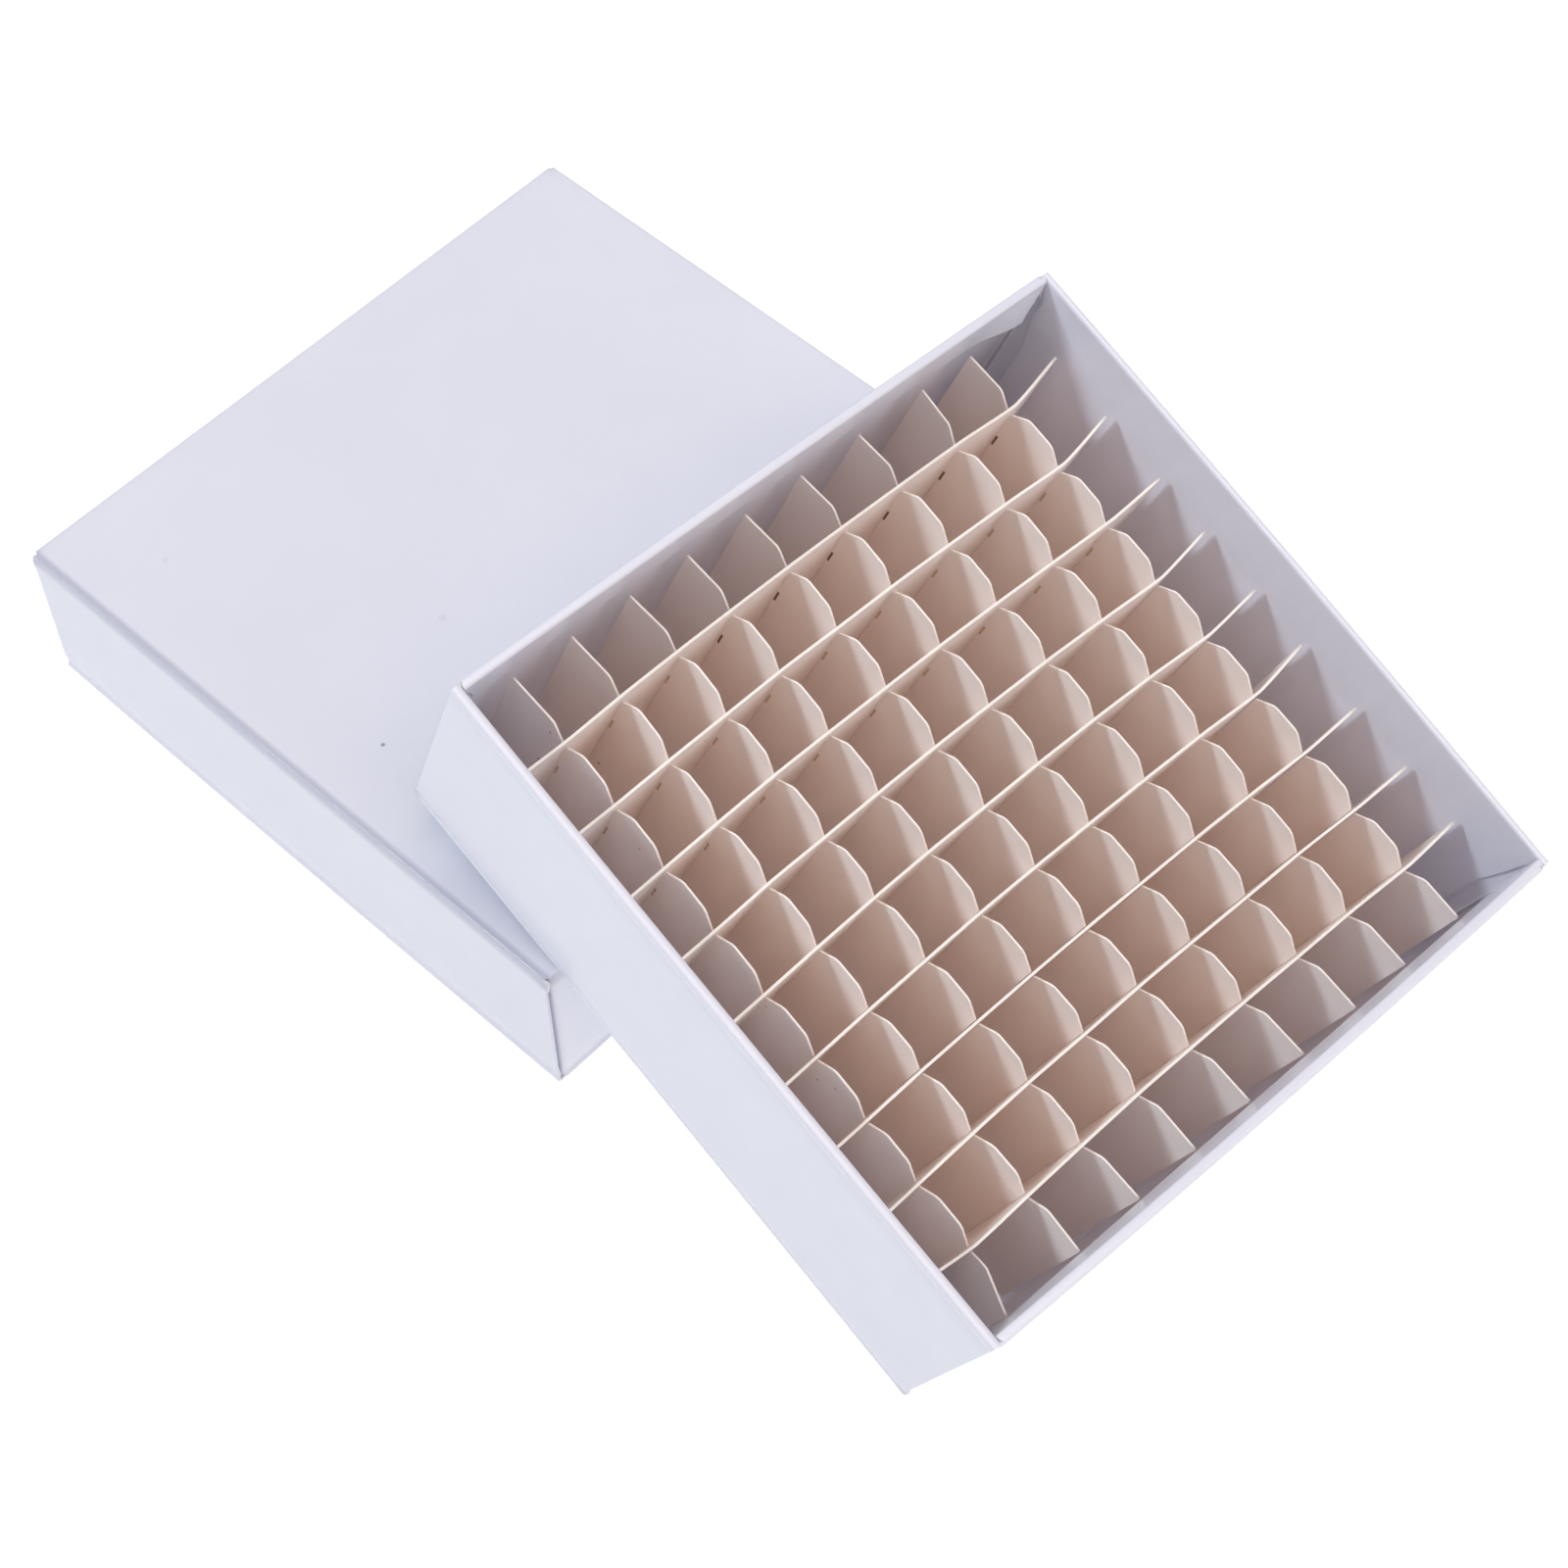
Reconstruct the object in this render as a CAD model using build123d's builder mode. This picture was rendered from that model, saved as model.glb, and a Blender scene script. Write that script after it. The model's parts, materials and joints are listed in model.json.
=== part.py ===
from build123d import *
from math import cos, radians, sin
import os

# Cardboard freezer box: a telescoping lid, a tray, and a divider of slotted board strips.
# The lid lies flat with its top up. The open tray leans on the lid's near top edge, and its
# lowest corner touches the surface that both stand on. Millimetres, +Z up, origin on that
# surface under the middle of the whole arrangement.

# Board
board = 0.65            # coated board of the lid and the tray
wall = 2 * board        # a wall whose board is folded over and turned in
hem_depth = 9.5         # how far the short turned-in hems reach down from the rim
rim_round = 0.4         # rounding of the folded rim
crease_round = 1.0      # rounding of the creases round the lid's top panel

# Lid and tray, outside sizes
lid_size = 135.0
lid_height = 35.0
tray_size = 130.0
tray_height = 50.0

# Divider
cells = 10              # cells along each side
pitch = 12.75           # from one strip to the next
strip_length = 127.0
strip_height = 38.8
strip_floor = board + 0.1       # underside of the strips above the tray's underside
a_thickness = 0.55
b_thickness = 0.4
a_slot_width = 0.7      # slots in the A strips, which take the B strips
b_slot_width = 0.8      # slots in the B strips, which take the A strips
slot_gap = 0.1          # each slot is this much deeper than half the strip
flare = 3.2             # 45 degree chamfers at the mouths of the B strips' slots
grid_shift = -2.1       # the B strips sit this far off the tray's middle

# How the tray leans
tilt = 20.3             # degrees between the tray's base and the surface
turn = -4.5             # degrees the tray is turned about its own axis
corner_inset = 9.5      # lowest corner, inward from the line of the lid's right side
lean_gap = 0.1          # air between the tray's base and the lid's crease

# Places of the strips across the tray, from its middle
steps = [(i - (cells - 2) / 2) * pitch for i in range(cells - 1)]
b_places = [grid_shift + step for step in steps]
a_places = steps


def leaning_plane(offset):
    """Plane of the tray's underside, with its origin at the underside's middle.
    The lid's near left bottom corner is at offset."""
    s = sin(radians(tilt))
    c = cos(radians(tilt))
    reach = (lid_height * c + lean_gap - crease_round * (s + c - 1)) / s
    corner = offset + Vector(lid_size - corner_inset, -reach, 0)
    spin = Plane.XY.rotated((tilt, 0, 0)) * Location((0, 0, 0), (0, 0, turn))
    across = Plane(spin)
    half = tray_size / 2
    middle = corner - across.x_dir * half + across.y_dir * half
    return Plane(origin=middle, x_dir=across.x_dir, z_dir=across.z_dir)


def span_middle(low, high):
    return (low + high) / 2


# The arrangement's box gives the origin: first with the lid's corner at zero, then shifted.
loose = leaning_plane(Vector(0, 0, 0))
half_tray = tray_size / 2
tray_corners = [
    loose.from_local_coords(Vector(x, y, z))
    for x in (-half_tray, half_tray)
    for y in (-half_tray, half_tray)
    for z in (0, tray_height)
]
lid_corner = -Vector(
    span_middle(
        min(p.X for p in tray_corners),
        max(lid_size, max(p.X for p in tray_corners)),
    ),
    span_middle(min(p.Y for p in tray_corners), lid_size),
    0,
)
tray_plane = leaning_plane(lid_corner)
lid_plane = Plane(
    origin=lid_corner + Vector(lid_size / 2, lid_size / 2, lid_height),
    x_dir=(1, 0, 0),
    z_dir=(0, 0, -1),
)


def carton(base_plane, size, height):
    """Open square carton folded from one blank. Its panel lies on base_plane and its walls
    stand along the plane's normal. Two walls are turned in to their full depth, and the two
    between them have only a hem."""
    up = Axis(base_plane.origin, base_plane.z_dir)
    rim_plane = base_plane.offset(height)
    with BuildPart() as carton_shell:
        with BuildSketch(base_plane):
            Rectangle(size, size)
        extrude(amount=height)
        with BuildSketch(base_plane.offset(board)):
            Rectangle(size - 2 * wall, size - 2 * board)
        extrude(amount=height, mode=Mode.SUBTRACT)
        with BuildSketch(rim_plane):
            with Locations((0, (size - 3 * board) / 2), (0, -(size - 3 * board) / 2)):
                Rectangle(size - 2 * wall, board)
        extrude(amount=-hem_depth)
        fillet(carton_shell.faces().sort_by(up)[-1].edges(), radius=rim_round)
    return carton_shell


def a_strip(place):
    """Strip along the tray's x, with slots that open downward."""
    with BuildPart() as strip:
        origin = tray_plane.from_local_coords(Vector(0, place, strip_floor))
        with BuildSketch(Plane(origin=origin, x_dir=tray_plane.x_dir, z_dir=-tray_plane.y_dir)):
            Rectangle(strip_length, strip_height, align=(Align.CENTER, Align.MIN))
            with Locations(*[(x, 0) for x in b_places]):
                Rectangle(
                    a_slot_width,
                    strip_height / 2 + slot_gap,
                    align=(Align.CENTER, Align.MIN),
                    mode=Mode.SUBTRACT,
                )
        extrude(amount=a_thickness / 2, both=True)
    return strip


def b_strip(place):
    """Strip along the tray's y, with slots that open upward through flared mouths."""
    half_slot = b_slot_width / 2
    foot = strip_height / 2 - slot_gap
    with BuildPart() as strip:
        origin = tray_plane.from_local_coords(Vector(place, 0, strip_floor))
        with BuildSketch(Plane(origin=origin, x_dir=tray_plane.y_dir, z_dir=tray_plane.x_dir)):
            Rectangle(strip_length, strip_height, align=(Align.CENTER, Align.MIN))
            with Locations(*[(y, 0) for y in a_places]):
                Polygon(
                    (-half_slot - flare, strip_height),
                    (-half_slot, strip_height - flare),
                    (-half_slot, foot),
                    (half_slot, foot),
                    (half_slot, strip_height - flare),
                    (half_slot + flare, strip_height),
                    align=None,
                    mode=Mode.SUBTRACT,
                )
        extrude(amount=b_thickness / 2, both=True)
    return strip


def save(piece, node):
    piece.part.label = node
    export_step(piece.part, f"parts/{node}.step")


os.makedirs("parts", exist_ok=True)

# Lid: the carton upside down, with soft creases round its top panel
lid = carton(lid_plane, lid_size, lid_height)
with lid:
    fillet(lid.faces().sort_by(Axis.Z)[-1].edges(), radius=crease_round)
save(lid, "lid")

tray = carton(tray_plane, tray_size, tray_height)
save(tray, "tray")

for number, place in enumerate(a_places, start=1):
    save(a_strip(place), f"strip_a_{number}")

for number, place in enumerate(b_places, start=1):
    save(b_strip(place), f"strip_b_{number}")
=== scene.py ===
import json
import math
import random

import bpy
import numpy as np
from mathutils import Matrix, Vector


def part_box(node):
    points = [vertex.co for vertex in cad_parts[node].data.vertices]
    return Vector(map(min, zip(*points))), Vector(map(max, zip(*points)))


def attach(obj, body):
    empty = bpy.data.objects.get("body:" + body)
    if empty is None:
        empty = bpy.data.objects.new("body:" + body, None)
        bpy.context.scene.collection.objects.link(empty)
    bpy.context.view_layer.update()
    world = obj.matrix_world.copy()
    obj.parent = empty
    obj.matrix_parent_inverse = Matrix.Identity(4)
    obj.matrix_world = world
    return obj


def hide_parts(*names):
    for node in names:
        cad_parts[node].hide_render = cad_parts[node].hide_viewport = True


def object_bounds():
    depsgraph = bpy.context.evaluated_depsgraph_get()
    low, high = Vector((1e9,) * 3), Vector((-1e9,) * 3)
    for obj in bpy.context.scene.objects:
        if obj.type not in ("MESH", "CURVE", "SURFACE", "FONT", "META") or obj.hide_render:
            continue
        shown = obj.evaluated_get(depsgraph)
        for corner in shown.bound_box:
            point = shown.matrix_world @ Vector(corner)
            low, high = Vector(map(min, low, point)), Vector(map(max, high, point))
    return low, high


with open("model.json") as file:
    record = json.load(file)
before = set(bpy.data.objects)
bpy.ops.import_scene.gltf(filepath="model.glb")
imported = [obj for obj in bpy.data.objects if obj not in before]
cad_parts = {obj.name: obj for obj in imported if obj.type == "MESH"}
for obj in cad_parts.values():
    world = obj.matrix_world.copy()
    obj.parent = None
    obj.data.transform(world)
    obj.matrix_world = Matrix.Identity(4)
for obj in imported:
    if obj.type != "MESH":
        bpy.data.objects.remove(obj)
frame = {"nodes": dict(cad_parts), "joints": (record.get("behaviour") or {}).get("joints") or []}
cad_low, cad_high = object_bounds()

# The box is a carton of coated board: a lid that lies with its top up, and an open tray that
# leans on it, with a divider of slotted strips. The shapes below are in millimetres, in the
# lid's and the tray's own axes: u across, v deep, and up out of the open side.
MM = 0.001
rng = random.Random(4)  # small unevenness of the divider

BOARD = 0.6             # coated board of the lid and the tray
RIM = 1.9               # width of a folded rim
WALL = 1.3              # a double wall lower down, where its two layers lie together
EDGE = 1.0              # where the flat panel stops and its crease starts, in from the side
HEM = 9.2               # depth of the short turned-in hems
CORNER = 1.3            # outer radius of the glue flaps where they turn the corners
FLAP_GAP = 0.95         # the glue flaps lie this far inside the side panels' outer faces
FLAP_STEPS = 5          # columns of points round a flap's turn
FLAP_TAIL = 0.05        # a flap's straight end, past its turn
FOLD_AIR = 0.12         # air between layers of board where they nearly touch
OUTER_SIDE = 0.8        # a wall's points less than this far in lie on its outer side
JOG = 0.45              # how far a side panel's end steps back, past its crease
JOG_HEIGHT = 3.2        # where it steps back, from the panel
SLANT = 0.18            # how steeply a turned-in panel's end slants
HEM_SLANT = 3.1         # how much shorter a hem's free edge is at each end
SHADE_START = 0.9       # how far from the panel the painted crease shade stays full
SHADE_END = 3.6         # how far from the panel the painted crease shade ends
GAP_TURN = (math.radians(36), math.radians(60))  # where a flap turns into its narrow gap, which gets painted shadow


# ---------------------------------------------------------------- the model's own frames

def points_of(node):
    return np.array([v.co for v in frame["nodes"][node].data.vertices], float)


def middle(points):
    return (points.min(0) + points.max(0)) / 2


def joint_axis(name):
    found = next(j for j in frame["joints"] if j["name"] == name)
    return Vector(found["axis"]).normalized()


def turned(u, v, up, origin):
    """Matrix that takes the piece's own axes to the shared frame."""
    m = Matrix((u, v, up)).transposed().to_4x4()
    m.translation = origin
    return m


def lid_frame():
    low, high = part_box("lid")
    centre = (low + high) / 2
    m = turned(Vector((1, 0, 0)), Vector((0, -1, 0)), Vector((0, 0, -1)),
               Vector((centre.x, centre.y, high.z)))
    return m, (high.x - low.x) / MM, (high.z - low.z) / MM


def tray_frame():
    """The tray leans, so its axes come from the lift joint and from a cross strip's two ends."""
    up = joint_axis("divider_lift")
    strip = points_of("strip_a_5")
    near = middle(strip[strip[:, 0] < strip[:, 0].min() + MM])
    far = middle(strip[strip[:, 0] > strip[:, 0].max() - MM])
    u = Vector(far - near)
    u = (u - up * u.dot(up)).normalized()
    v = up.cross(u)
    spans = [points_of("tray") @ np.array(axis) for axis in (u, v, up)]
    low, high = [s.min() for s in spans], [s.max() for s in spans]
    origin = u * (low[0] + high[0]) / 2 + v * (low[1] + high[1]) / 2 + up * low[2]
    return turned(u, v, up, origin), (high[0] - low[0]) / MM, (high[2] - low[2]) / MM


LID, LID_SIZE, LID_HEIGHT = lid_frame()
TRAY, TRAY_SIZE, TRAY_HEIGHT = tray_frame()


# ---------------------------------------------------------------- mesh helpers

def curve(points, per):
    """Smooth curve through the points, with per samples to each span."""
    p = np.asarray(points, float)
    p = np.vstack([2 * p[0] - p[1], p, 2 * p[-1] - p[-2]])
    t = np.linspace(0, 1, per, endpoint=False)[:, None]
    rows = []
    for a, b, c, d in zip(p, p[1:], p[2:], p[3:]):
        rows.append(0.5 * (2 * b + (c - a) * t + (2 * a - 5 * b + 4 * c - d) * t ** 2
                           + (3 * b - a - 3 * c + d) * t ** 3))
    return np.vstack(rows + [p[-2][None]])


def ramp(x, low, high):
    """0 before low, 1 after high, and smooth in between."""
    t = np.clip((np.asarray(x, float) - low) / (high - low), 0, 1)
    return t * t * (3 - 2 * t)


def backs(path, thickness, window=1.25):
    """The path's other face, thickness to its left. Its direction is averaged over window,
    so that it doesn't fold over itself at a tight crease."""
    step = np.diff(path, axis=0)
    length = np.hypot(step[:, 0], step[:, 1])
    left = np.stack([-step[:, 1], step[:, 0]], 1) / length[:, None]
    along = np.concatenate([[0], np.cumsum(length)])
    middles = (along[1:] + along[:-1]) / 2
    apart = np.abs(along[:, None] - middles[None])
    weight = np.clip(1 - apart / window, 0, None) * length + 1e-6 / (apart + 0.01) ** 4
    normal = weight @ left
    normal /= np.linalg.norm(normal, axis=1)[:, None]
    return path + normal * thickness


def board(name, front, back, active, place, body, node, materials, painted_shade=None,
          flecks=None):
    """A closed thin board from two grids of points, a front and a back. active says which
    of the grid's squares are there. The cut edges get the second material. The next
    argument, 0 to 1 at each point, says how much painted shade darkens the board there.
    The last argument gives the squares that have another material on the back."""
    rows, columns = front.shape[:2]
    used = np.zeros((rows, columns), bool)
    for dr in (0, 1):
        for dc in (0, 1):
            used[dr:rows - 1 + dr, dc:columns - 1 + dc] |= active
    number = -np.ones((rows, columns), int)
    number[used] = np.arange(used.sum())
    count = int(used.sum())
    verts = np.vstack([front[used], back[used]]) * MM
    r, c = np.argwhere(active)[0]
    across = np.cross(front[r, c + 1] - front[r, c], front[r + 1, c] - front[r, c])
    flip = float(across @ (front[r, c] - back[r, c])) < 0
    faces, kinds, rims = [], [], []
    for r, c in np.argwhere(active):
        quad = [number[r, c], number[r, c + 1], number[r + 1, c + 1], number[r + 1, c]]
        sides = ((r - 1, c), (r, c + 1), (r + 1, c), (r, c - 1))
        if flip:
            quad = quad[::-1]
            sides = (sides[2], sides[1], sides[0], sides[3])
        faces.append(quad)
        faces.append([q + count for q in quad[::-1]])
        kinds += [0, 0 if flecks is None else int(flecks[r, c])]
        for k, (sr, sc) in enumerate(sides):
            inside = 0 <= sr < rows - 1 and 0 <= sc < columns - 1
            if inside and active[sr, sc]:
                continue
            a, b = quad[k], quad[(k + 1) % 4]
            faces.append([b, a, a + count, b + count])
            kinds.append(1)
            rims += [(a, b), (a + count, b + count)]
    mesh = bpy.data.meshes.new(name)
    mesh.from_pydata([tuple(p) for p in verts], [], [[int(i) for i in f] for f in faces])
    mesh.polygons.foreach_set("material_index", kinds)
    mesh.polygons.foreach_set("use_smooth", [True] * len(kinds))
    sharp = {frozenset((int(a), int(b))) for a, b in rims}
    for edge in mesh.edges:
        edge.use_edge_sharp = frozenset(edge.vertices) in sharp
    for material in materials:
        mesh.materials.append(material)
    # Painted shade: a point attribute that darkens the coated board's colour where shade falls.
    if painted_shade is not None:
        shade_attribute = mesh.attributes.new("painted_shade", "FLOAT", "POINT")
        shade_attribute.data.foreach_set("value", np.tile(painted_shade[used], 2).astype(np.float32))
    mesh.validate()
    mesh.update()
    piece = bpy.data.objects.new(name, mesh)
    bpy.context.scene.collection.objects.link(piece)
    piece.matrix_world = place
    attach(piece, body)
    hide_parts(node)
    return piece


# ---------------------------------------------------------------- materials

def linear(r, g, b):
    """A colour given as it looks on a screen, 0 to 255."""
    def one(x):
        x /= 255
        return x / 12.92 if x <= 0.04045 else ((x + 0.055) / 1.055) ** 2.4
    return one(r), one(g), one(b), 1.0


class Nodes:
    """Short names for building a material."""

    def __init__(self, name, roughness, coat=0.0, coat_roughness=0.1, specular=0.5):
        self.material = bpy.data.materials.new(name)
        self.material.use_nodes = True
        self.tree = self.material.node_tree
        self.shader = self.tree.nodes["Principled BSDF"]
        self.set("Roughness", roughness)
        self.set("Coat Weight", coat)
        self.set("Coat Roughness", coat_roughness)
        self.set("Specular IOR Level", specular)
        self.place = self.tree.nodes.new("ShaderNodeTexCoord").outputs["Object"]

    def set(self, socket, value):
        self.shader.inputs[socket].default_value = value

    def link(self, a, b):
        self.tree.links.new(a, b)

    def noise(self, scale, detail, stretch=None):
        node = self.tree.nodes.new("ShaderNodeTexNoise")
        node.inputs["Scale"].default_value = scale
        node.inputs["Detail"].default_value = detail
        node.inputs["Roughness"].default_value = 0.55
        place = self.place
        if stretch:
            mapping = self.tree.nodes.new("ShaderNodeMapping")
            mapping.inputs["Scale"].default_value = stretch
            self.link(place, mapping.inputs["Vector"])
            place = mapping.outputs["Vector"]
        self.link(place, node.inputs["Vector"])
        return node.outputs["Fac"]

    def specks(self, scale, size, share):
        """Round specks: 1 inside. Only a share of the cells has one."""
        near = self.tree.nodes.new("ShaderNodeTexVoronoi")
        near.inputs["Scale"].default_value = scale
        self.link(self.place, near.inputs["Vector"])
        dot = self.between(near.outputs["Distance"], size, size * 0.6)
        pick = self.tree.nodes.new("ShaderNodeSeparateColor")
        self.link(near.outputs["Color"], pick.inputs["Color"])
        chosen = self.between(pick.outputs["Red"], 1 - share, 1 - share + 0.001)
        return self.math("MULTIPLY", dot, chosen)

    def spot(self, place, radius):
        """One round spot, 1 inside. Its place and radius are in millimetres."""
        node = self.tree.nodes.new("ShaderNodeVectorMath")
        node.operation = "DISTANCE"
        self.link(self.place, node.inputs[0])
        node.inputs[1].default_value = [x * MM for x in place]
        return self.between(node.outputs["Value"], radius * MM, radius * MM * 0.6)

    def between(self, value, low, high, to_low=0.0, to_high=1.0):
        node = self.tree.nodes.new("ShaderNodeMapRange")
        for socket, x in (("From Min", low), ("From Max", high),
                          ("To Min", to_low), ("To Max", to_high)):
            node.inputs[socket].default_value = x
        self.link(value, node.inputs["Value"])
        return node.outputs["Result"]

    def math(self, operation, a, b):
        node = self.tree.nodes.new("ShaderNodeMath")
        node.operation = operation
        for socket, x in zip(node.inputs, (a, b)):
            if isinstance(x, (int, float)):
                socket.default_value = x
            else:
                self.link(x, socket)
        return node.outputs["Value"]

    def mix(self, share, a, b):
        node = self.tree.nodes.new("ShaderNodeMix")
        node.data_type = "RGBA"
        self.link(share, node.inputs["Factor"])
        for socket, x in ((node.inputs[6], a), (node.inputs[7], b)):
            if isinstance(x, tuple):
                socket.default_value = x
            else:
                self.link(x, socket)
        return node.outputs[2]

    def bump(self, height, strength, distance):
        node = self.tree.nodes.new("ShaderNodeBump")
        node.inputs["Strength"].default_value = strength
        node.inputs["Distance"].default_value = distance
        self.link(height, node.inputs["Height"])
        self.link(node.outputs["Normal"], self.shader.inputs["Normal"])

    def colour(self, socket):
        self.link(socket, self.shader.inputs["Base Color"])


# Dust on the lid's top: place, radius and how dark it is
DUST = (((-52.7, 11.7, 0), 0.48, 0.85), ((-26.2, -0.8, 0), 0.9, 0.12),
        ((-51.6, -48.1, 0), 0.8, 0.1))


def coated_board(name):
    """White clay-coated board: a soft sheen, a barely uneven surface, a few specks, and
    painted shade: greyer by the creases, in the corner dimples and in the flaps' gaps."""
    m = Nodes(name, 0.42, coat=0.5, coat_roughness=0.12)
    cloud = m.between(m.noise(26, 3), 0.35, 0.65)
    base = m.mix(cloud, linear(229, 231, 242), linear(232, 234, 244))
    fibre = m.between(m.noise(900, 3), 0.3, 0.7)
    base = m.mix(m.math("MULTIPLY", fibre, 0.22), base, linear(226, 227, 238))
    base = m.mix(m.specks(42, 0.045, 0.02), base, linear(150, 140, 132))
    for place, radius, strength in DUST:
        base = m.mix(m.math("MULTIPLY", m.spot(place, radius), strength), base,
                     linear(140, 141, 136))
    shade_attribute = m.tree.nodes.new("ShaderNodeAttribute")
    shade_attribute.attribute_name = "painted_shade"
    # Painted shade from the mesh attribute: a blue grey by the creases, in the corner dimples
    # and in the flaps' gaps.
    base = m.mix(shade_attribute.outputs["Fac"], base, linear(196, 198, 214))
    m.colour(base)
    m.link(m.between(m.noise(150, 4), 0.3, 0.7, 0.36, 0.5), m.shader.inputs["Roughness"])
    grit = m.math("MULTIPLY", m.noise(1400, 3), 0.22)
    m.bump(m.math("ADD", m.noise(60, 2), grit), 0.35, 0.00012)
    return m.material


def cut_edge(name, core, rim):
    """The cut side of a board, where its fibres show."""
    m = Nodes(name, 0.75, specular=0.25)
    m.colour(m.mix(m.between(m.noise(2600, 3), 0.35, 0.65), linear(*core), linear(*rim)))
    m.bump(m.noise(3200, 3), 0.5, 0.00008)
    return m.material


def flecked(name, colour):
    """A fleck of flat, slightly mottled colour beside a slot."""
    m = Nodes(name, 0.8, specular=0.2)
    dark = linear(*(0.86 * x for x in colour))
    m.colour(m.mix(m.between(m.noise(2200, 3), 0.35, 0.65), linear(*colour), dark))
    return m.material


def divider_board(name):
    """Smooth warm board with faint fibres along it and a few brown specks."""
    m = Nodes(name, 0.5, specular=0.4)
    grain = m.between(m.noise(700, 4, stretch=(0.35, 0.35, 1.5)), 0.3, 0.7)
    base = m.mix(grain, linear(249, 240, 234), linear(251, 243, 238))
    cloud = m.between(m.noise(45, 3), 0.35, 0.7)
    base = m.mix(m.math("MULTIPLY", cloud, 0.4), base, linear(249, 236, 228))
    base = m.mix(m.specks(230, 0.075, 0.16), base, linear(150, 112, 78))
    m.colour(base)
    m.link(m.between(m.noise(260, 3), 0.3, 0.7, 0.44, 0.6), m.shader.inputs["Roughness"])
    m.bump(m.math("ADD", m.noise(1800, 3), m.math("MULTIPLY", m.noise(130, 2), 2.0)),
           0.3, 0.00006)
    return m.material


COATED = coated_board("coated_white_board")
COATED_CUT = cut_edge("coated_board_cut_edge", (240, 240, 244), (228, 228, 236))
DIVIDER = divider_board("warm_divider_board")
DIVIDER_CUT = cut_edge("divider_board_cut_edge", (252, 249, 244), (250, 243, 232))
# Two flecks of colour beside the slots, one dark and one pale.
DIVIDER_MATERIALS = (DIVIDER, DIVIDER_CUT, flecked("dark_fleck", (140, 112, 94)),
                     flecked("pale_fleck", (226, 205, 178)))
DARK_FLECK, PALE_FLECK = 2, 3       # their places in DIVIDER_MATERIALS


# ---------------------------------------------------------------- lid and tray

def half_profile(half, height, turned_in, rim_width):
    """The outer face of half a folded blank, from its panel's middle round the crease, up
    the wall, over the rolled rim and down inside to turned_in below it. Gives the path and
    how many of its points lie on the flat panel."""
    roll = rim_width / RIM
    ends = [half - s for s in (14, 10.5, 8, 6, 4.4, 3, 1.9, EDGE)]
    panel = [(a, 0.0) for a in list(np.linspace(0, ends[0] - 4, 15)) + ends]
    crease = curve([(half - s, z) for s, z in (
        (EDGE, 0), (0.55, 0.02), (0.3, 0.13), (0.2, 0.36), (0.25, 0.7), (0.31, 1.05),
        (0.25, 1.55), (0.11, 2.2), (0.02, 3.0), (0.0, 3.5), (0.0, 4.2))], 2)[1:]
    rim = curve([(half - s, height - d) for s, d in (
        (0, 5.0), (0.1, 3.6), (0.25, 2.5), (0.28, 1.9), (0.16, 1.4), (0.03, 1.0),
        (0.0, 0.7), (0.1 * roll, 0.35), (0.35 * roll, 0.1), (0.75 * roll, 0),
        (1.2 * roll, 0.02), (1.6 * roll, 0.16), (1.84 * roll, 0.45),
        (rim_width, 0.9), (rim_width, 1.6))], 3)
    wall = [(half, z) for z in np.linspace(4.2, height - 5.0, 8)[1:-1]]
    inner = []
    for d in np.linspace(1.6, turned_in, 12)[1:]:
        lean = rim_width + (WALL - rim_width) * ramp(d, 1.6, 13)
        inner.append((half - lean, height - d))
    path = np.vstack([panel, crease, wall, rim, inner])
    return path, len(panel)


def whole_profile(half, height, turned_in, rim_widths):
    """The outer and the inner face of the whole blank, from one turned-in edge to the other,
    and how many of its points lie on half of the flat panel."""
    faces = []
    for rim_width in rim_widths:
        path, flat = half_profile(half, height, turned_in, rim_width)
        faces.append((path, backs(path, BOARD)))
    minus, plus = faces
    return [np.vstack([m[1:][::-1] * (-1, 1), p]) for m, p in zip(minus, plus)] + [flat]


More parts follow.
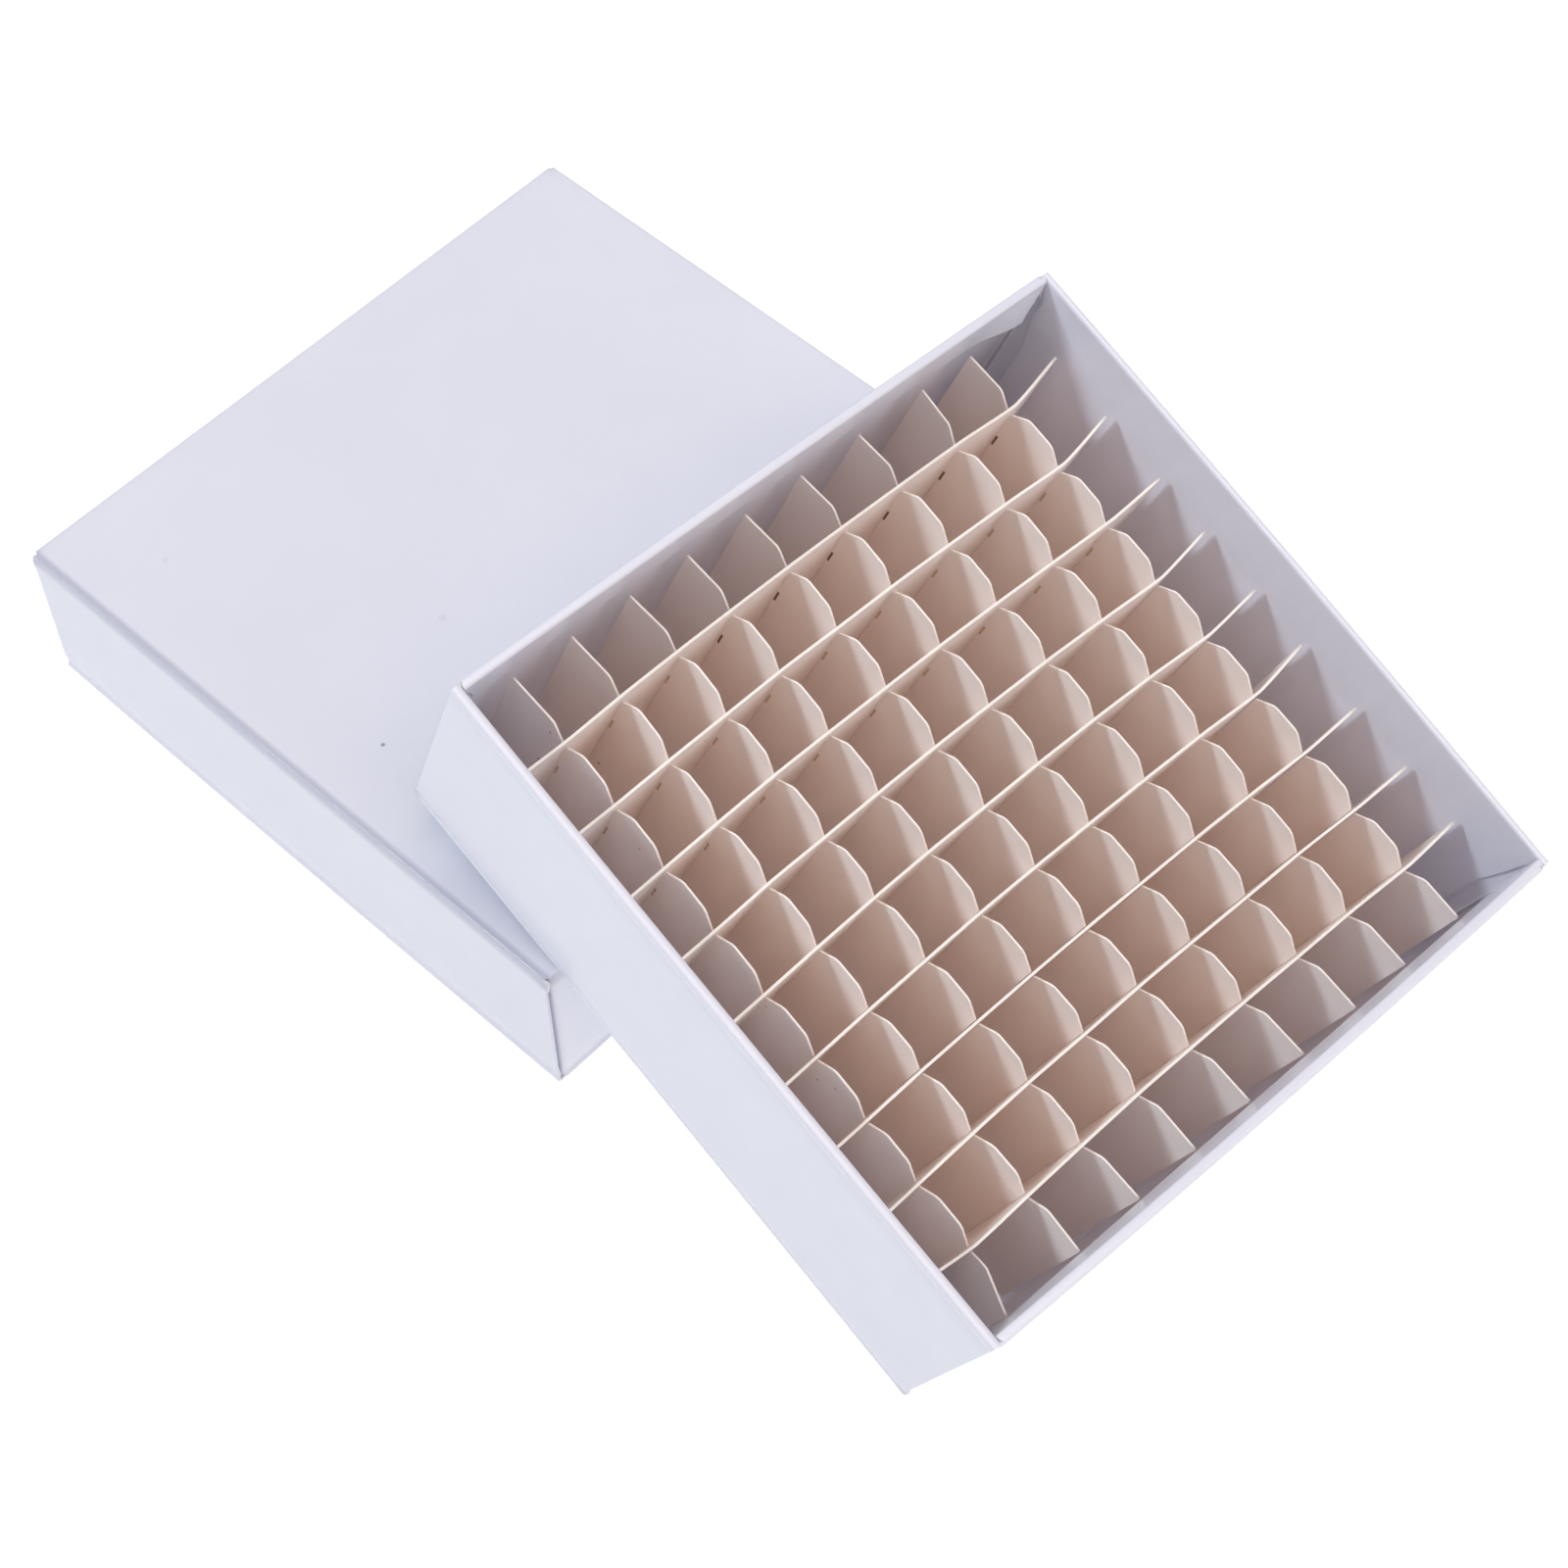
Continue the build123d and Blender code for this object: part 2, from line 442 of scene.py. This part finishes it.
def carton(node, place, size, height, shape):
    """One folded blank. The u walls are turned in to their full depth, and the v walls only
    have hems. Glue flaps of the v walls turn the corners under the u walls. shape holds
    the widths of its four rims, how far its walls bow, how strong the painted shade by its
    creases is, how far its corners splay, how far its hems spring off, and the height of its
    waves."""
    half = size / 2
    rims = shape["rims"]
    u_path, u_back, flat = whole_profile(half, height, height - BOARD - FOLD_AIR, rims[:2])
    v_path, v_back, _ = whole_profile(half, height, HEM, rims[2:])
    nu, nv = len(u_path), len(v_path)
    cu, cv = nu // 2, nv // 2
    columns = np.abs(np.arange(nu) - cu)
    rows = np.abs(np.arange(nv) - cv)
    last = flat - 1
    flap_start = half - FLAP_GAP - CORNER

    def ends_of_u_wall(steps, path):
        """How far along v each part of a u wall reaches."""
        reach = []
        for k, (a, z) in zip(steps, path):
            if k <= last:
                reach.append(half - EDGE)
                continue
            inside = half - abs(a)
            out = half - EDGE + (EDGE - FOLD_AIR) * ramp(z, 0.05, 0.9)
            out -= JOG * ramp(z, JOG_HEIGHT, JOG_HEIGHT + 0.4)
            out += 0.15 * ramp(z, height - 2.2, height - 0.8)
            if inside > OUTER_SIDE and z > 0.5:
                out = half - 0.35 - 1.0 * ramp(height - z, 0.25, 1.2)
                out -= min(SLANT * max(height - z - 1.5, 0), 3.2)
            reach.append(out)
        return np.array(reach)

    def ends_of_v_wall(steps, path, rim_width):
        """How far along u each part of a v wall reaches. The hems' ends are cut at a slant."""
        reach = []
        for k, (a, z) in zip(steps, path):
            if k <= last:
                reach.append(half - EDGE)
                continue
            inside = half - abs(a)
            out = half - EDGE + (flap_start - half + EDGE) * ramp(z, 0.0, 0.6)
            if inside > OUTER_SIDE and z > height / 2:
                shorter = HEM_SLANT * ramp(height - z, 0.6, HEM) ** 0.8
                out = half - rim_width - FOLD_AIR - shorter
            reach.append(out)
        return np.array(reach)

    u_reach = ends_of_u_wall(columns, u_path)
    v_reaches = [ends_of_v_wall(rows, v_path, rim_width) for rim_width in rims[:2]]
    flat_u = np.clip(u_path[:, 0], -(half - EDGE), half - EDGE)
    flat_v = np.clip(v_path[:, 0], -(half - EDGE), half - EDGE)
    front = np.zeros((nv, nu, 3))
    back = np.zeros((nv, nu, 3))
    on_panel_u = columns <= last
    on_panel_v = rows <= last
    turn = np.clip((columns - last) / FLAP_STEPS, 0, 1) * math.pi / 2
    tail = np.clip(columns - last - FLAP_STEPS, 0, 1) * FLAP_TAIL
    for r in range(nv):
        for c in range(nu):
            if on_panel_v[r]:
                v = flat_v[r] * u_reach[c] / (half - EDGE)
                front[r, c] = (u_path[c, 0], v, u_path[c, 1])
                back[r, c] = (u_back[c, 0], v, u_back[c, 1])
                continue
            side_u, side_v = np.sign(c - cu), np.sign(v_path[r, 0])
            v_out, z_out = abs(v_path[r, 0]), v_path[r, 1]
            v_in, z_in = abs(v_back[r, 0]), v_back[r, 1]
            if on_panel_u[c]:
                v_reach = v_reaches[int(flat_u[c] > 0)]
                u = flat_u[c] * v_reach[r] / (half - EDGE)
                front[r, c] = (u, side_v * v_out, z_out)
                back[r, c] = (u, side_v * v_in, z_in)
                continue
            sunk = half - v_out
            for grid, radius, level in ((front, CORNER, z_out), (back, CORNER - BOARD, z_in)):
                u = flap_start + radius * math.sin(turn[c])
                v = half - CORNER - sunk * math.cos(turn[c]) + radius * math.cos(turn[c])
                grid[r, c] = (side_u * u, side_v * (v - tail[c]), level)
    active = np.zeros((nv - 1, nu - 1), bool)
    panel_rows = on_panel_v[:-1] & on_panel_v[1:]
    panel_columns = on_panel_u[:-1] & on_panel_u[1:]
    active[panel_rows, :] = True
    active[:, panel_columns] = True
    outside = (half - np.abs(v_path[:, 0]) < 0.5) & (v_path[:, 1] > 0.6) & ~on_panel_v
    outside &= v_path[:, 1] < height - 0.15
    flap_rows = outside[:-1] & outside[1:]
    flap_columns = (columns >= last) & (columns <= last + FLAP_STEPS + 1)
    flap_columns = flap_columns[:-1] & flap_columns[1:]
    active |= flap_rows[:, None] & flap_columns[None]
    # Painted shade by the creases and in the dimples where they meet.
    painted_shade = painted_crease_shade(front, half, shape["crease"])
    # By the side panels' ends the flaps turn into a narrow gap, and painted shadow darkens it as
    # much as a crease.
    in_gap = ramp(turn, *GAP_TURN)[None] * ~on_panel_v[:, None]
    painted_shade = np.maximum(painted_shade, in_gap * ramp(front[..., 2], JOG_HEIGHT, JOG_HEIGHT + 0.5))
    for grid in (front, back):
        shape_carton(grid, half, height, shape)
    return board(f"{node}_carton", front, back, active, place, node, node,
                 (COATED, COATED_CUT), painted_shade)


def painted_crease_shade(grid, half, crease):
    """Painted shade, 0 to 1: in a soft band down from the creases round the panel, in a strip
    of the panel itself by the left crease, and in a dimple where creases meet."""
    u, v, z = (grid[..., k] for k in range(3))
    from_u, from_v = half - np.abs(u), half - np.abs(v)
    band = 1 - ramp(z, SHADE_START, SHADE_END)
    by_left_crease = (u < 0) & (from_u < EDGE + 0.05)
    on_wall = (np.minimum(from_u, from_v) < OUTER_SIDE) & (z > 0.15)
    band *= np.where(by_left_crease, 1.0, 0.6 * on_wall)
    dimple = np.exp(-(from_u ** 2 + from_v ** 2) / 3.0) * (1 - ramp(z, 1.2, 4.0))
    return np.clip(crease * band + 0.8 * dimple, 0, 1)


def shape_carton(grid, half, height, shape):
    """Splays the corners, bows the walls, springs the hems off the walls, and gives the
    panels a slight unevenness."""
    u, v, z = grid[..., 0].copy(), grid[..., 1].copy(), grid[..., 2].copy()
    up = np.clip(z / height, 0, 1)
    at = {"-u": ramp(-u, half - 7, half - 3), "+u": ramp(u, half - 7, half - 3),
          "-v": ramp(-v, half - 7, half - 3), "+v": ramp(v, half - 7, half - 3)}
    for side, amount in shape["bows"].items():
        along = v if side[1] == "u" else u
        sign = 1 if side[0] == "+" else -1
        out = amount * (1 - np.clip(along / half, -1, 1) ** 2) * up ** 1.3 * at[side]
        grid[..., 0 if side[1] == "u" else 1] += sign * out
    for (side_u, side_v), (out_u, out_v) in shape["corners"].items():
        near = (1 + side_u * u / half) * (1 + side_v * v / half) / 4 * up ** 1.2
        grid[..., 0] += side_u * out_u * near
        grid[..., 1] += side_v * out_v * near
    wave = shape["wave"]
    ripple = wave * (np.sin(u / 17 + 1.0) * np.cos(v / 23 - 0.4) + 0.5 * np.sin(u / 9 - v / 13))
    flat = (1 - np.maximum.reduce(list(at.values())))
    grid[..., 2] += (ripple + 1.2 * wave) * flat
    walls = wave * np.sin(z / 11 + 0.5) * up * (1 - up) * 4
    grid[..., 0] += walls * np.sin(v / 19 + 0.8) * (at["+u"] + at["-u"])
    grid[..., 1] += walls * np.sin(u / 15 - 0.3) * (at["+v"] + at["-v"])
    hem = (half - np.abs(v) > OUTER_SIDE) & (np.abs(v) > half - 4) & (z > height - HEM - 1)
    free = np.clip((height - z - 1.2) / (HEM - 1.2), 0, 1) * hem
    far_lift, near_lift = shape["hems"]
    grid[..., 1] -= far_lift * free * ramp(u, half - 16, half - 5) * (v > 0)
    grid[..., 1] += near_lift * free * (1 - 0.4 * (u / half) ** 2) * (v < 0)


# The lid's creases get painted shade and the tray's don't; both get it in the corner dimples.
carton("lid", LID, LID_SIZE, LID_HEIGHT, {
    "rims": (RIM, RIM, RIM, RIM), "bows": {"-u": 0.25, "+u": 0.2, "-v": 0.3, "+v": 0.3},
    "crease": 1.0, "corners": {}, "hems": (0, 0), "wave": 0.06})
carton("tray", TRAY, TRAY_SIZE, TRAY_HEIGHT, {
    "rims": (RIM, 1.3, RIM, 1.7), "bows": {"-u": 0.2, "+u": 0.4, "-v": 0.6, "+v": 0.3},
    "crease": 0.0, "corners": {(1, 1): (1.1, 0.7), (1, -1): (0.2, 0.8), (-1, -1): (0.8, 0.35),
                               (-1, 1): (1.1, 0.6)},
    "hems": (1.7, 1.0), "wave": 0.05})


# ---------------------------------------------------------------- divider

STRIPS = 9
STRIP_FLOOR = 0.75      # underside of the strips above the tray's underside
STRIP_HEIGHT = 38.75
A_THICK = 0.46          # thickness of the cross strips
B_THICK = 0.36          # thickness of the upright strips
SLOT_GAP = 0.1          # each slot is this much deeper than half the strip
LOW_ROWS = (7.0, 13.5)  # heights of the rows of points below the slots' ends
HIGH_ROWS = (26.0, 32.0)  # heights of the rows of points above them
SLOT_ROW = 3            # the row of points at the slots' ends
FLECK = (25.0, 28.3)    # bottom and top of the fleck beside each upright strip's slot
FLECK_SIDE = 0.85       # its outer side, from the slot's middle
FLECK_ROW = 4           # the row of squares that it takes
A_SLOT = 0.35           # half the width of the cross strips' slots
B_SLOT = 0.4            # half the width of the upright strips' slots
FLARE = 3.2             # slanted mouths of the upright strips' slots
A_REACH = (63.55, 62.7)  # the cross strips' left and right ends, from the tray's middle
B_REACH = 63.2          # the upright strips' ends, from the tray's middle
HALF_TRAY = TRAY_SIZE / 2  # from the tray's middle to the walls that the lists start from

# How far from the near wall each cross strip runs: at the left wall, at the right wall, and
# by how much it bows out between them. Its two ends curl a little off that line.
A_LEFT = (12.6, 25.5, 38.0, 50.6, 63.2, 75.9, 88.7, 101.3, 114.2)
A_RIGHT = (13.1, 26.1, 38.8, 51.6, 64.5, 77.2, 90.2, 102.9, 116.3)
A_BOW = (1.6, 1.5, 1.6, 1.8, 1.9, 1.9, 1.7, 1.8, 1.6)
A_LEFT_CURL = (1.5, 0, 0.2, 0.1, 0.2, 0.2, 0, 0.4, 0.4)
A_RIGHT_CURL = (1.2, 0.5, 0.9, 2.3, 1.7, 2.3, 1.3, 2.9, 3.0)
# How far from the left wall each upright strip stands: at the near wall, at the first and
# the last cross strip, and at the far wall. Between those cross strips it bows.
B_NEAR = (8.3, 24.6, 38.2, 51.2, 64.1, 77.1, 90.0, 102.4, 116.1)
B_FIRST = (11.9, 24.9, 37.8, 50.9, 63.5, 76.3, 89.6, 102.0, 115.8)
B_LAST = (13.0, 25.5, 38.1, 50.3, 63.3, 75.9, 89.2, 102.7, 115.2)
B_FAR = (12.3, 24.5, 36.9, 49.4, 62.2, 74.8, 88.2, 103.2, 114.7)
B_BOW = (-0.2, -0.8, -0.5, -0.6, -0.3, -0.4, -0.2, 0.2, 0.1)


def crossings():
    """Where the strips cross: one point for each cross strip and upright strip."""
    grid = np.zeros((STRIPS, STRIPS, 2))
    for i in range(STRIPS):
        for j in range(STRIPS):
            t = i / (STRIPS - 1)
            u = B_FIRST[j] + (B_LAST[j] - B_FIRST[j]) * t + B_BOW[j] * 4 * t * (1 - t)
            t = u / TRAY_SIZE
            v = A_LEFT[i] + (A_RIGHT[i] - A_LEFT[i]) * t + A_BOW[i] * 4 * t * (1 - t)
            grid[i, j] = (u - HALF_TRAY + rng.uniform(-0.09, 0.09),
                          v - HALF_TRAY + rng.uniform(-0.09, 0.09))
    return grid


CROSS = crossings()


def sampled(points, along, xs):
    """The line through points, read at the positions xs of the axis along. It bends most
    at the points, where the board is slotted."""
    line = curve(points, 12)
    order = np.argsort(line[:, along])
    smooth = np.interp(xs, line[order, along], line[order, 1 - along])
    corners = np.array(sorted(points, key=lambda p: p[along]))
    straight = np.interp(xs, corners[:, along], corners[:, 1 - along])
    return 0.4 * smooth + 0.6 * straight


def spread(low, high, slots, half_widths, extra):
    """Positions along a strip: its ends, both sides of every slot and of the scuffs beside
    it, and extra ones in between. half_widths goes from the widest to the narrowest."""
    sides = [-w for w in half_widths] + list(half_widths[::-1])
    stops = [low] + [s + side for s in slots for side in sides] + [high]
    xs = []
    for a, b in zip(stops, stops[1:]):
        xs += list(np.linspace(a, b, 2 if b - a < 1 else extra + 1)[:-1])
    return np.array(xs + [high])


def strip(name, xs, centre, along, thickness, levels, tops, slots, half_width, from_top, body,
          flecked_slots=None):
    """One slotted strip. xs are positions along it, centre is the line that it follows, and
    tops is the height of its upper edge at each of them. Slots that open from_top may have
    a fleck of another colour beside them, and the last argument gives its material."""
    slope = np.gradient(centre, xs)
    length = np.sqrt(1 + slope ** 2)
    offset = np.stack([-slope / length, 1 / length], 1) * thickness / 2
    rows = len(levels) + 1
    grids = []
    for side in (1, -1):
        grid = np.zeros((rows, len(xs), 3))
        line = np.stack([xs, centre], 1) + side * offset
        if along == 1:
            line = line[:, ::-1]
        for r in range(rows):
            grid[r, :, :2] = line
            grid[r, :, 2] = levels[r] if r < rows - 1 else tops
        grids.append(grid)
    active = np.ones((rows - 1, len(xs) - 1), bool)
    mids = (xs[1:] + xs[:-1]) / 2
    flecks = np.zeros(active.shape, int)
    for index, s in enumerate(slots):
        inside = np.abs(mids - s) < half_width * 0.98
        if from_top:
            active[SLOT_ROW:, inside] = False
            beside = (mids > s - FLECK_SIDE) & (mids < s - half_width)
            flecks[FLECK_ROW, beside] = flecked_slots.get(index, 0)
        else:
            active[:SLOT_ROW, inside] = False
    return board(name + "_board", grids[0], grids[1], active, TRAY, body, name,
                 DIVIDER_MATERIALS, flecks=flecks)


def cross_strip(i):
    slots = CROSS[i, :, 0]
    left, right = A_REACH
    ends = [(-left, A_LEFT[i] + A_LEFT_CURL[i] - HALF_TRAY),
            (right, A_RIGHT[i] + A_RIGHT_CURL[i] - HALF_TRAY)]
    points = [ends[0]] + [tuple(p) for p in CROSS[i]] + [ends[1]]
    xs = spread(-left, right, slots, (A_SLOT,), extra=5)
    centre = sampled(points, 0, xs)
    slot_end = STRIP_FLOOR + STRIP_HEIGHT / 2 + SLOT_GAP
    levels = [STRIP_FLOOR, *LOW_ROWS, slot_end, *HIGH_ROWS]
    tops = STRIP_FLOOR + STRIP_HEIGHT + 0.12 * np.sin(xs / 7 + i) * rng.uniform(0.3, 1.0)
    return strip(f"strip_a_{i + 1}", xs, centre, 0, A_THICK, levels, tops, slots, A_SLOT,
                 False, "cross_strips")


def upright_strip(j):
    slots = CROSS[:, j, 1]
    ends = [(B_NEAR[j] - HALF_TRAY, -B_REACH), (B_FAR[j] - HALF_TRAY, B_REACH)]
    points = [ends[0]] + [tuple(p) for p in CROSS[:, j]] + [ends[1]]
    xs = spread(-B_REACH, B_REACH, slots, (FLECK_SIDE, B_SLOT), extra=14)
    centre = sampled(points, 1, xs)
    past = np.full(len(xs), -9.0)
    for s in slots:
        past = np.maximum(past, B_SLOT + FLARE - np.abs(xs - s))
    soft = (past + np.sqrt(past ** 2 + 0.02)) / 2
    tops = STRIP_FLOOR + STRIP_HEIGHT - np.minimum(soft, FLARE)
    slot_end = STRIP_FLOOR + STRIP_HEIGHT / 2 - SLOT_GAP
    levels = [STRIP_FLOOR, *LOW_ROWS, slot_end, *FLECK, HIGH_ROWS[1]]
    # Flecks beside the last three slots; by the last cross strip they are dark from the fourth
    # upright strip on.
    return strip(f"strip_b_{j + 1}", xs, centre, 1, B_THICK, levels, tops, slots,
                 B_SLOT, True, "upright_strips",
                 {8: DARK_FLECK if j >= 3 else PALE_FLECK, 7: PALE_FLECK, 6: PALE_FLECK})


for index in range(STRIPS):
    cross_strip(index)
    upright_strip(index)


# ---------------------------------------------------------------- floor, lights and camera

WHITE = (0.98, 0.99, 1, 1)


def studio_floor():
    """A wide floor that glows nearly white, so that it looks the same all over."""
    mesh = bpy.data.meshes.new("studio_floor")
    reach = 30.0
    mesh.from_pydata([(-reach, -reach, 0), (reach, -reach, 0), (reach, reach, 0),
                      (-reach, reach, 0)], [], [(0, 1, 2, 3)])
    ground = bpy.data.objects.new("studio_floor", mesh)
    bpy.context.scene.collection.objects.link(ground)
    ground.location.z = cad_low.z - 0.2 * MM
    m = Nodes("white_floor", 0.9, specular=0.0)
    m.colour(m.mix(m.noise(3, 2), (0.14, 0.14, 0.15, 1), (0.17, 0.17, 0.17, 1)))
    m.set("Emission Color", WHITE)
    m.set("Emission Strength", 0.93)
    mesh.materials.append(m.material)


def softbox(name, towards, distance, size, power, colour, target):
    """A square area light that shines along towards, onto target."""
    light = bpy.data.lights.new(name, "AREA")
    light.shape = "SQUARE"
    light.size = size
    light.energy = power
    light.color = colour
    lamp = bpy.data.objects.new(name, light)
    direction = Vector(towards).normalized()
    lamp.location = target - direction * distance
    lamp.rotation_mode = "QUATERNION"
    lamp.rotation_quaternion = direction.to_track_quat("-Z", "Y")
    bpy.context.scene.collection.objects.link(lamp)


studio_floor()
target = (cad_low + cad_high) / 2
across, deep, up = (TRAY.to_3x3() @ Vector(a) for a in ((1, 0, 0), (0, 1, 0), (0, 0, 1)))
softbox("key_light", across - 0.97 * deep - 0.85 * up, 1.5, 0.34, 10.2, (0.84, 0.92, 1), target)
softbox("front_fill", (-0.25, 1.0, -0.45), 1.6, 1.2, 7.5, (0.92, 0.95, 1), target)
softbox("left_fill", (0.5, 0.9, -0.32), 1.6, 1.0, 2.2, (1, 0.84, 0.76), target)
softbox("well_light", -up, 1.3, 1.0, 8.5, (1, 0.87, 0.83), target)
softbox("sheen_light", (-0.45, -0.45, -0.77), 1.3, 0.9, 3.1, (0.94, 0.96, 1), target)

world = bpy.data.worlds.new("studio")
world.use_nodes = True
background = world.node_tree.nodes["Background"]
background.inputs["Color"].default_value = WHITE
# Past the floor's far end the camera sees the floor's own white, but the world gives the
# objects little light.
seen = world.node_tree.nodes.new("ShaderNodeLightPath").outputs["Is Camera Ray"]
brightness = world.node_tree.nodes.new("ShaderNodeMapRange")
brightness.inputs["To Min"].default_value = 0.07
brightness.inputs["To Max"].default_value = 0.94
world.node_tree.links.new(seen, brightness.inputs["Value"])
world.node_tree.links.new(brightness.outputs["Result"], background.inputs["Strength"])
bpy.context.scene.world = world

# The camera stands at the front left and looks down, as in the photograph.
AIM = Vector((-0.011775, -0.015968, 0.040))
DISTANCE = 0.53423
ELEVATION = math.radians(56.135)
AZIMUTH = math.radians(46.445)
ROLL = math.radians(-0.826)

camera_data = bpy.data.cameras.new("camera")
camera_data.lens = 71.15
camera_data.sensor_width = 36
camera_data.clip_start = 0.02
camera_data.clip_end = 20
camera = bpy.data.objects.new("camera", camera_data)
forward = Vector((math.sin(AZIMUTH) * math.cos(ELEVATION),
                  math.cos(AZIMUTH) * math.cos(ELEVATION), -math.sin(ELEVATION)))
camera.rotation_mode = "QUATERNION"
level = forward.to_track_quat("-Z", "Y").to_matrix()
camera.rotation_quaternion = (level @ Matrix.Rotation(ROLL, 3, "Z")).to_quaternion()
camera.location = AIM - forward * DISTANCE
bpy.context.scene.collection.objects.link(camera)
bpy.context.scene.camera = camera

# White board passes light on many times, deep in the cells.
bpy.context.scene.cycles.diffuse_bounces = 10
bpy.context.scene.cycles.max_bounces = 14

view = bpy.context.scene.view_settings
view.view_transform = "Standard"
view.look = "None"
